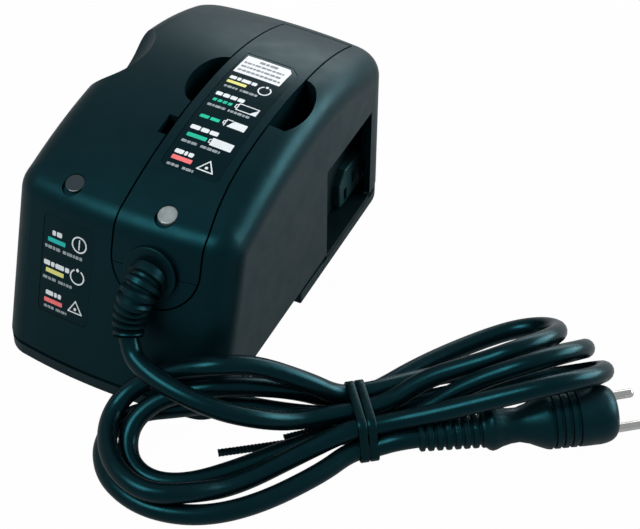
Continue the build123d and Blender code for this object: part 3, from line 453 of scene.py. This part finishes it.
# Tie: two bands round the strands, with two ridged tails on the table
tieValues = {
    "width": 3.0, "thick": 0.8, "gap": 0.4, "bands": (-1.75, 1.75), "tableGap": 0.55, "arcSteps": 5,
    "section": ((-1, -1), (1, -1), (1, 0.6), (0.86, 1), (-0.86, 1), (-1, 0.6)),
    "tailWidth": 2.6, "tailThick": 0.9, "ridgePitch": 1.3, "ridgeLength": 0.6, "ridgeRise": 0.35,
    "longTail": ((89.1, -53.7, 1.6), (82.8, -58.4, 1.0), (74.3, -65.0, 0.7), (63.7, -73.5, 0.7), (51.5, -82.7, 0.7)),
    "shortTail": ((86.9, -50.8, 1.8), (81.2, -55.1, 1.1), (76.0, -59.0, 0.8), (69.0, -66.2, 0.8)),
}


def strapLoop():  # the strap's centre line, across the hank and up, flattened where it meets the table
    low, high, pitch = (cordValues[k] for k in ("low", "high", "pitch"))
    radius = cordValues["diameter"] / 2 + tieValues["gap"] + tieValues["thick"] / 2
    corners = ((-1.5 * pitch, low, 180), (1.5 * pitch, low, 270), (pitch, high, 0), (-pitch, high, 90))
    points = []
    for across, height, first in corners:
        for step in range(tieValues["arcSteps"] + 1):
            angle = math.radians(first + 90 * step / tieValues["arcSteps"])
            under = height == low and math.sin(angle) <= -0.2
            drop = min(radius, height - tieValues["tableGap"]) if under else radius
            points.append((across + radius * math.cos(angle), height + drop * math.sin(angle)))
    return points


def addBand(shift):
    loop = strapLoop()
    centre = Vector(cordValues["tie"])
    rings = []
    for index, (across, height) in enumerate(loop):
        before, after = loop[index - 1], loop[(index + 1) % len(loop)]
        way = Vector((after[0] - before[0], after[1] - before[1])).normalized()
        outward = Vector((way.y, -way.x))
        ring = []
        for side, lift in tieValues["section"]:
            spot = Vector((across, height)) + outward * (lift * tieValues["thick"] / 2)
            point = centre + tieAcross * spot.x + Vector((0, 0, spot.y))
            ring.append(vec(point + tieWay * (shift + side * tieValues["width"] / 2)))
        rings.append(ring)
    return ringsMesh("tieBand", rings, finish["tie"], ends=False)


# Geometry Nodes: a flat strap swept along a path, with a row of small ridges across it; nothing in it is random
def ridgedStrapTree():
    tree = bpy.data.node_groups.new("ridgedStrap", "GeometryNodeTree")
    face = tree.interface
    face.new_socket(name="Geometry", in_out="OUTPUT", socket_type="NodeSocketGeometry")
    face.new_socket(name="Path", in_out="INPUT", socket_type="NodeSocketGeometry")
    for label in ("Width", "Thick", "Ridge Pitch", "Ridge Length", "Ridge Rise"):
        face.new_socket(name=label, in_out="INPUT", socket_type="NodeSocketFloat")
    face.new_socket(name="Material", in_out="INPUT", socket_type="NodeSocketMaterial")
    start, end = tree.nodes.new("NodeGroupInput"), tree.nodes.new("NodeGroupOutput")

    def wire(source, node, socket):
        tree.links.new(source, node.inputs[socket])

    level = addNode(tree, "GeometryNodeSetCurveNormal", mode="Z_UP")
    wire(start.outputs["Path"], level, "Curve")
    profile = tree.nodes.new("GeometryNodeCurvePrimitiveQuadrilateral")
    wire(start.outputs["Width"], profile, "Width")
    wire(start.outputs["Thick"], profile, "Height")
    sweep = tree.nodes.new("GeometryNodeCurveToMesh")
    sweep.inputs["Fill Caps"].default_value = True
    wire(level.outputs[0], sweep, "Curve")
    wire(profile.outputs[0], sweep, "Profile Curve")
    spaced = addNode(tree, "GeometryNodeResampleCurve", mode="LENGTH")
    wire(level.outputs[0], spaced, "Curve")
    wire(start.outputs["Ridge Pitch"], spaced, "Length")
    tall = addNode(tree, "ShaderNodeMath", operation="ADD")
    wire(start.outputs["Thick"], tall, 0)
    wire(start.outputs["Ridge Rise"], tall, 1)
    size = tree.nodes.new("ShaderNodeCombineXYZ")
    wire(start.outputs["Ridge Length"], size, "X")
    wire(start.outputs["Width"], size, "Y")
    wire(tall.outputs[0], size, "Z")
    ridge = tree.nodes.new("GeometryNodeMeshCube")
    wire(size.outputs[0], ridge, "Size")
    turn = addNode(tree, "FunctionNodeAlignRotationToVector", axis="X", pivot_axis="Z")
    wire(tree.nodes.new("GeometryNodeInputTangent").outputs[0], turn, "Vector")
    placed = tree.nodes.new("GeometryNodeInstanceOnPoints")
    wire(spaced.outputs[0], placed, "Points")
    wire(ridge.outputs[0], placed, "Instance")
    wire(turn.outputs[0], placed, "Rotation")
    joined = tree.nodes.new("GeometryNodeJoinGeometry")
    wire(placed.outputs[0], joined, 0)
    wire(sweep.outputs[0], joined, 0)
    real = tree.nodes.new("GeometryNodeRealizeInstances")
    wire(joined.outputs[0], real, 0)
    coated = tree.nodes.new("GeometryNodeSetMaterial")
    wire(real.outputs[0], coated, "Geometry")
    wire(start.outputs["Material"], coated, "Material")
    wire(coated.outputs[0], end, 0)
    return tree


def grown(name, host, tree, **values):  # the plain mesh that a node tree makes of its host
    modifier = host.modifiers.new(tree.name, "NODES")
    modifier.node_group = tree
    for item in tree.interface.items_tree:
        if item.in_out == "INPUT" and item.name in values:
            modifier[item.identifier] = values[item.name]
    shown = host.evaluated_get(bpy.context.evaluated_depsgraph_get())
    mesh = bpy.data.meshes.new_from_object(shown)
    host.modifiers.remove(modifier)
    bpy.data.objects.remove(host)
    mesh.name = name
    return link(bpy.data.objects.new(name, mesh))


strapTree = ridgedStrapTree()


def addTail(name, points):
    path = addCurve(name + "Path", points, 0, finish["tie"], resolution=8)
    path.data.use_fill_caps = False
    v = tieValues
    sizes = {
        "Width": v["tailWidth"] * mm, "Thick": v["tailThick"] * mm, "Ridge Pitch": v["ridgePitch"] * mm,
        "Ridge Length": v["ridgeLength"] * mm, "Ridge Rise": v["ridgeRise"] * mm, "Material": finish["tie"],
    }
    tail = grown(name, path, strapTree, **sizes)
    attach(tail, "power_module")
    return tail


def joinMeshes(name, parts, material):
    made = bmesh.new()
    for part in parts:
        made.from_mesh(part.data)
        bpy.data.objects.remove(part)
    mesh = bpy.data.meshes.new(name)
    made.to_mesh(mesh)
    made.free()
    mesh.materials.append(material)
    return link(bpy.data.objects.new(name, mesh))


tieStrap = joinMeshes("tieStrap", [addBand(shift) for shift in tieValues["bands"]], finish["tie"])
tieTails = [addTail("tieLongTail", tieValues["longTail"]), addTail("tieShortTail", tieValues["shortTail"])]
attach(tieStrap, "power_module")
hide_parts("cord_tie")
print("tie made")

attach(mainsCord, "power_module")
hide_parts("cord_lead", "cord_hank")

# Labels: printed marks that follow the curved top and the leaning front
houseValues = {
    "peak": 12.0, "frontArc": 185.0, "rearArc": 130.0, "top": 83.4, "crown": 320.0, "lean": 17.3,
    "frontY": -76.9, "parting": 8.5, "bow": 230.0, "printDepth": 0.09, "printThick": 0.05, "printStep": 2.5,
}


def onTop(point, lift=0.0):
    x, y = point
    v = houseValues
    radius = v["frontArc"] if y < v["peak"] else v["rearArc"]
    height = v["top"] - radius + math.sqrt(radius ** 2 - (y - v["peak"]) ** 2)
    z = math.sqrt((height + v["crown"]) ** 2 - x ** 2) - v["crown"]
    slope = -(y - v["peak"]) / radius
    normal = Vector((x / (v["crown"] + z), -slope, 1)).normalized()
    return Vector((x, y, z)) + normal * (lift - v["printDepth"])


def onFront(point, lift=0.0):
    x, s = point
    v = houseValues
    lean = math.radians(v["lean"])
    way = Vector((0, math.sin(lean), math.cos(lean)))
    normal = Vector((0, -math.cos(lean), math.sin(lean)))
    sag = v["bow"] - math.sqrt(v["bow"] ** 2 - x ** 2)
    return Vector((x, v["frontY"], v["parting"])) + way * s + normal * (lift - v["printDepth"] - sag)


def bar(x, y, length, height, corner=0.25, slant=0.0):
    half = height / 2
    outline = []
    for cx, cy, first in ((x + length - corner, y + half - corner, 0), (x + corner, y + half - corner, 90),
                          (x + corner, y - half + corner, 180), (x + length - corner, y - half + corner, 270)):
        for step in range(4):
            angle = math.radians(first + 30 * step)
            outline.append((cx + corner * math.cos(angle) + slant * (cy - y), cy + corner * math.sin(angle)))
    return [outline]


def arcBand(x, y, radius, width, first=0, last=360, count=40):
    quads = []
    for k in range(count):
        a, b = (math.radians(first + (last - first) * n / count) for n in (k, k + 1))
        inner, outer = radius - width / 2, radius + width / 2
        corners = ((inner, a), (outer, a), (outer, b), (inner, b))
        quads.append([(x + r * math.cos(t), y + r * math.sin(t)) for r, t in corners])
    return quads


def stroke(points, width, closed=False):
    quads = []
    ends = points[1:] + points[:1] if closed else points[1:]
    for a, b in zip(points, ends):
        way = (Vector(b) - Vector(a)).normalized()
        across = Vector((-way.y, way.x)) * (width / 2)
        a, b = Vector(a) - way * (width / 2), Vector(b) + way * (width / 2)
        quads.append([tuple(p) for p in (a - across, b - across, b + across, a + across)])
    return quads


# Rounded dashes in the place of a printed word, as shares of its height
dashValues = {"least": 0.7, "grow": 0.14, "tall": 1.05, "corner": 0.24, "gap": 0.24, "last": 0.5}


def wordMarks(x, y, length, height, seed):
    v = dashValues
    marks = []
    at, step = x, seed
    while at < x + length - height * v["last"]:
        step = (step * 7 + 3) % 11  # a fixed sequence of uneven dash lengths
        size = min(height * (v["least"] + v["grow"] * step), x + length - at)
        marks += bar(at, y, size, height * v["tall"], corner=height * v["corner"])
        at += size + height * v["gap"]
    return marks


def printed(name, shapes, place, material, lift=0.0):  # thin flat shapes, cut fine enough to follow a curved face
    made = bmesh.new()
    for outline in shapes:
        made.faces.new([made.verts.new((x, y, 0)) for x, y in outline])
    step = houseValues["printStep"]
    for axis, way in enumerate(((1, 0, 0), (0, 1, 0))):
        values = [v.co[axis] for v in made.verts]
        cut = math.floor(min(values) / step) * step + step
        while cut < max(values):
            geometry = made.verts[:] + made.edges[:] + made.faces[:]
            bmesh.ops.bisect_plane(made, geom=geometry, plane_co=Vector(way) * cut, plane_no=way)
            cut += step
    lower = {v: vec(place((v.co.x, v.co.y), lift - houseValues["printThick"])) for v in made.verts}
    result = bmesh.ops.extrude_face_region(made, geom=made.faces[:], use_keep_orig=True)
    for v in [g for g in result["geom"] if isinstance(g, bmesh.types.BMVert)]:
        v.co = vec(place((v.co.x, v.co.y), lift))
    for v, spot in lower.items():
        v.co = spot
    bmesh.ops.recalc_face_normals(made, faces=made.faces)
    mesh = bpy.data.meshes.new(name)
    made.to_mesh(mesh)
    made.free()
    mesh.materials.append(material)
    return link(bpy.data.objects.new(name, mesh))


# Marks by colour: places in x and y on the module's top, and in x and height up the front
moduleMarks = {
    "yellow": bar(5.4, 12.3, 7.8, 1.5),
    "green": bar(6.0, -18.0, 7.8, 1.7)
    + [s for n in range(4) for s in bar(5.9 + 2.05 * n, 1.05, 1.5, 1.4, 0.2, 0.15)]
    + [s for n in range(2) for s in bar(5.9 + 4.2 * n, -8.3, 3.5, 1.5, 0.2, 0.1)],
    "red": bar(6.0, -28.9, 7.9, 1.8),
    "white": arcBand(20.2, 13.2, 2.3, 0.5, 118, 422) + arcBand(20.2, 15.4, 0.3, 0.6, count=14)
    + stroke([(15.9, 2.9), (23.7, 2.9), (23.7, -0.4), (15.9, -0.4)], 0.4, True)
    + [[(21.2, -0.4), (23.7, -0.4), (23.7, 2.7)]] + stroke([(15.6, 2.2), (15.0, 2.0), (15.0, 0.5), (15.6, 0.3)], 0.35)
    + [[(16.9, -9.4), (23.9, -9.4), (23.9, -6.1), (18.6, -6.1)]]
    + stroke([(15.8, -9.3), (15.8, -6.2), (18.0, -6.2)], 0.4)
    + stroke([(15.5, -7.0), (15.0, -7.2), (15.0, -8.4), (15.5, -8.6)], 0.35)
    + bar(15.6, -17.9, 8.4, 3.5, 0.2) + stroke([(15.3, -17.1), (14.8, -17.3), (14.8, -18.5), (15.3, -18.7)], 0.35)
    + stroke([(16.7, -30.3), (19.8, -25.9), (22.8, -30.3)], 0.45, True) + arcBand(19.8, -28.9, 0.3, 0.6, count=14)
    + wordMarks(5.3, 14.9, 10.9, 1.7, 2) + wordMarks(5.3, 4.5, 12.4, 1.8, 5) + wordMarks(5.5, -14.3, 11.7, 1.8, 1)
    + wordMarks(5.9, -26.2, 7.6, 1.7, 4),
    "faint": wordMarks(5.8, 9.4, 5.4, 1.1, 3) + wordMarks(12.2, 9.4, 7.0, 1.1, 6) + wordMarks(5.3, -2.1, 7.2, 1.1, 2)
    + wordMarks(13.6, -2.1, 8.6, 1.1, 9) + wordMarks(5.6, -21.3, 6.6, 1.1, 7) + wordMarks(13.2, -21.3, 7.6, 1.1, 1)
    + wordMarks(5.8, -32.1, 5.2, 1.0, 5) + wordMarks(11.9, -32.1, 4.6, 1.0, 8),
}
frontMarks = {
    "cyan": bar(-27.0, 46.75, 7.7, 1.7),
    "yellow": bar(-26.9, 34.5, 7.9, 1.7),
    "red": bar(-26.7, 22.6, 8.0, 1.7),
    "white": arcBand(-13.5, 49.0, 2.9, 0.55) + stroke([(-13.5, 47.3), (-13.5, 50.7)], 0.5)
    + arcBand(-13.3, 36.3, 2.8, 0.55, 118, 422) + arcBand(-13.3, 39.0, 0.32, 0.64, count=14)
    + stroke([(-15.9, 21.9), (-13.1, 26.5), (-10.2, 21.9)], 0.45, True) + arcBand(-13.1, 23.3, 0.3, 0.6, count=14)
    + wordMarks(-25.2, 49.7, 4.2, 1.8, 6) + wordMarks(-28.0, 37.3, 11.2, 1.8, 2) + wordMarks(-26.2, 25.6, 6.8, 1.7, 4),
    "faint": wordMarks(-28.1, 43.8, 6.8, 1.2, 3) + wordMarks(-20.2, 43.8, 8.4, 1.2, 8)
    + wordMarks(-28.0, 31.4, 5.8, 1.1, 7) + wordMarks(-21.2, 31.4, 6.6, 1.1, 4)
    + wordMarks(-26.6, 20.0, 4.4, 1.0, 5) + wordMarks(-21.3, 20.0, 4.8, 1.0, 1),
}
for prefix, marks, place, body in (
    ("moduleMarks", moduleMarks, onTop, "power_module"), ("frontMarks", frontMarks, onFront, "base"),
):
    for colour, shapes in marks.items():
        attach(printed(prefix + colour.capitalize(), shapes, place, finish[colour]), body)
stickerValues = {
    "outline": [(4.5, 18.4), (23.4, 18.4), (23.4, 28.2), (21.9, 30.2), (4.5, 30.2)],
    "rows": ((10.4, 8.2, 1.5), (5.4, 17.0, 1.1), (5.4, 16.6, 1.1), (5.4, 17.2, 1.1)),  # start, length, height
    "top": 28.2, "pitch": 2.6, "inkLift": 0.03,
}
sticker = printed("moduleSticker", [stickerValues["outline"]], onTop, finish["sticker"])
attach(sticker, "power_module")
stickerLines = []
for row, (first, size, tall) in enumerate(stickerValues["rows"]):
    stickerLines += wordMarks(first, stickerValues["top"] - stickerValues["pitch"] * row, size, tall, 2 + row)
stickerInk = printed("stickerLines", stickerLines, onTop, finish["ink"], stickerValues["inkLift"])
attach(stickerInk, "power_module")
print("labels printed")


# Floor, world and lamps: the floor is white to the camera and keeps the shadow
stageValues = {
    "floorColour": (0.32, 0.33, 0.34, 1), "floorRough": 0.9, "floorGloss": 0.1, "cameraShare": 0.985,
    "glossShare": 0.12, "floorSize": 3.0, "floorLow": -0.0002, "skyColour": (0.9, 0.96, 1, 1), "skyStrength": 0.4,
}


def addFloor():
    v = stageValues
    material, tree, shader = newMaterial("paleFloor")
    shader.inputs["Base Color"].default_value = v["floorColour"]
    shader.inputs["Roughness"].default_value = v["floorRough"]
    shader.inputs["Specular IOR Level"].default_value = v["floorGloss"]
    glow = addNode(tree, "ShaderNodeEmission", Color=(1, 1, 1, 1), Strength=1.0)
    path = addNode(tree, "ShaderNodeLightPath")
    camera = addNode(tree, "ShaderNodeMath", operation="MULTIPLY")
    camera.inputs[1].default_value = v["cameraShare"]
    gloss = addNode(tree, "ShaderNodeMath", operation="MULTIPLY")
    gloss.inputs[1].default_value = v["glossShare"]
    total = addNode(tree, "ShaderNodeMath", operation="ADD", use_clamp=True)
    tree.links.new(path.outputs["Is Camera Ray"], camera.inputs[0])
    tree.links.new(path.outputs["Is Glossy Ray"], gloss.inputs[0])
    tree.links.new(camera.outputs[0], total.inputs[0])
    tree.links.new(gloss.outputs[0], total.inputs[1])
    mix = addNode(tree, "ShaderNodeMixShader")
    tree.links.new(total.outputs[0], mix.inputs["Fac"])
    tree.links.new(shader.outputs[0], mix.inputs[1])
    tree.links.new(glow.outputs[0], mix.inputs[2])
    tree.links.new(mix.outputs[0], tree.nodes["Material Output"].inputs["Surface"])
    size, low = v["floorSize"], v["floorLow"]
    floor = meshObject(
        "floor", [(-size, -size, low), (size, -size, low), (size, size, low), (-size, size, low)], [(0, 1, 2, 3)],
        material, smooth=False,
    )


def addWorld():
    world = bpy.data.worlds.new("studio")
    world.use_nodes = True
    tree = world.node_tree
    soft = tree.nodes["Background"]
    soft.inputs["Color"].default_value = stageValues["skyColour"]
    soft.inputs["Strength"].default_value = stageValues["skyStrength"]
    plain = addNode(tree, "ShaderNodeBackground", Color=(1, 1, 1, 1), Strength=1.0)
    path = addNode(tree, "ShaderNodeLightPath")
    mix = addNode(tree, "ShaderNodeMixShader")
    tree.links.new(path.outputs["Is Camera Ray"], mix.inputs["Fac"])
    tree.links.new(soft.outputs[0], mix.inputs[1])
    tree.links.new(plain.outputs[0], mix.inputs[2])
    tree.links.new(mix.outputs[0], tree.nodes["World Output"].inputs["Surface"])
    bpy.context.scene.world = world


lampValues = {
    "rearPanel": {"place": (0.25, 1.15, 0.5), "aim": (0, 0, 0.03), "size": (1.9, 0.5), "watts": 9.0},
    "rightPanel": {"place": (1.0, 0.75, 0.55), "aim": (0, 0, 0.03), "size": (0.9, 0.7), "watts": 13.0},
    "keyPanel": {"place": (-0.5, -0.8, 1.4), "aim": (0, 0, 0), "size": (0.8, 0.8), "watts": 16.0},
}


def addLamps():
    for name, v in lampValues.items():
        data = bpy.data.lights.new(name, "AREA")
        data.shape = "RECTANGLE"
        data.size, data.size_y = v["size"]
        data.energy = v["watts"]
        lamp = link(bpy.data.objects.new(name, data))
        lamp.location = v["place"]
        way = Vector(v["aim"]) - Vector(v["place"])
        lamp.rotation_euler = way.to_track_quat("-Z", "Y").to_euler()


addFloor()
addWorld()
addLamps()
bpy.context.scene.view_settings.view_transform = "Standard"
print("stage set")
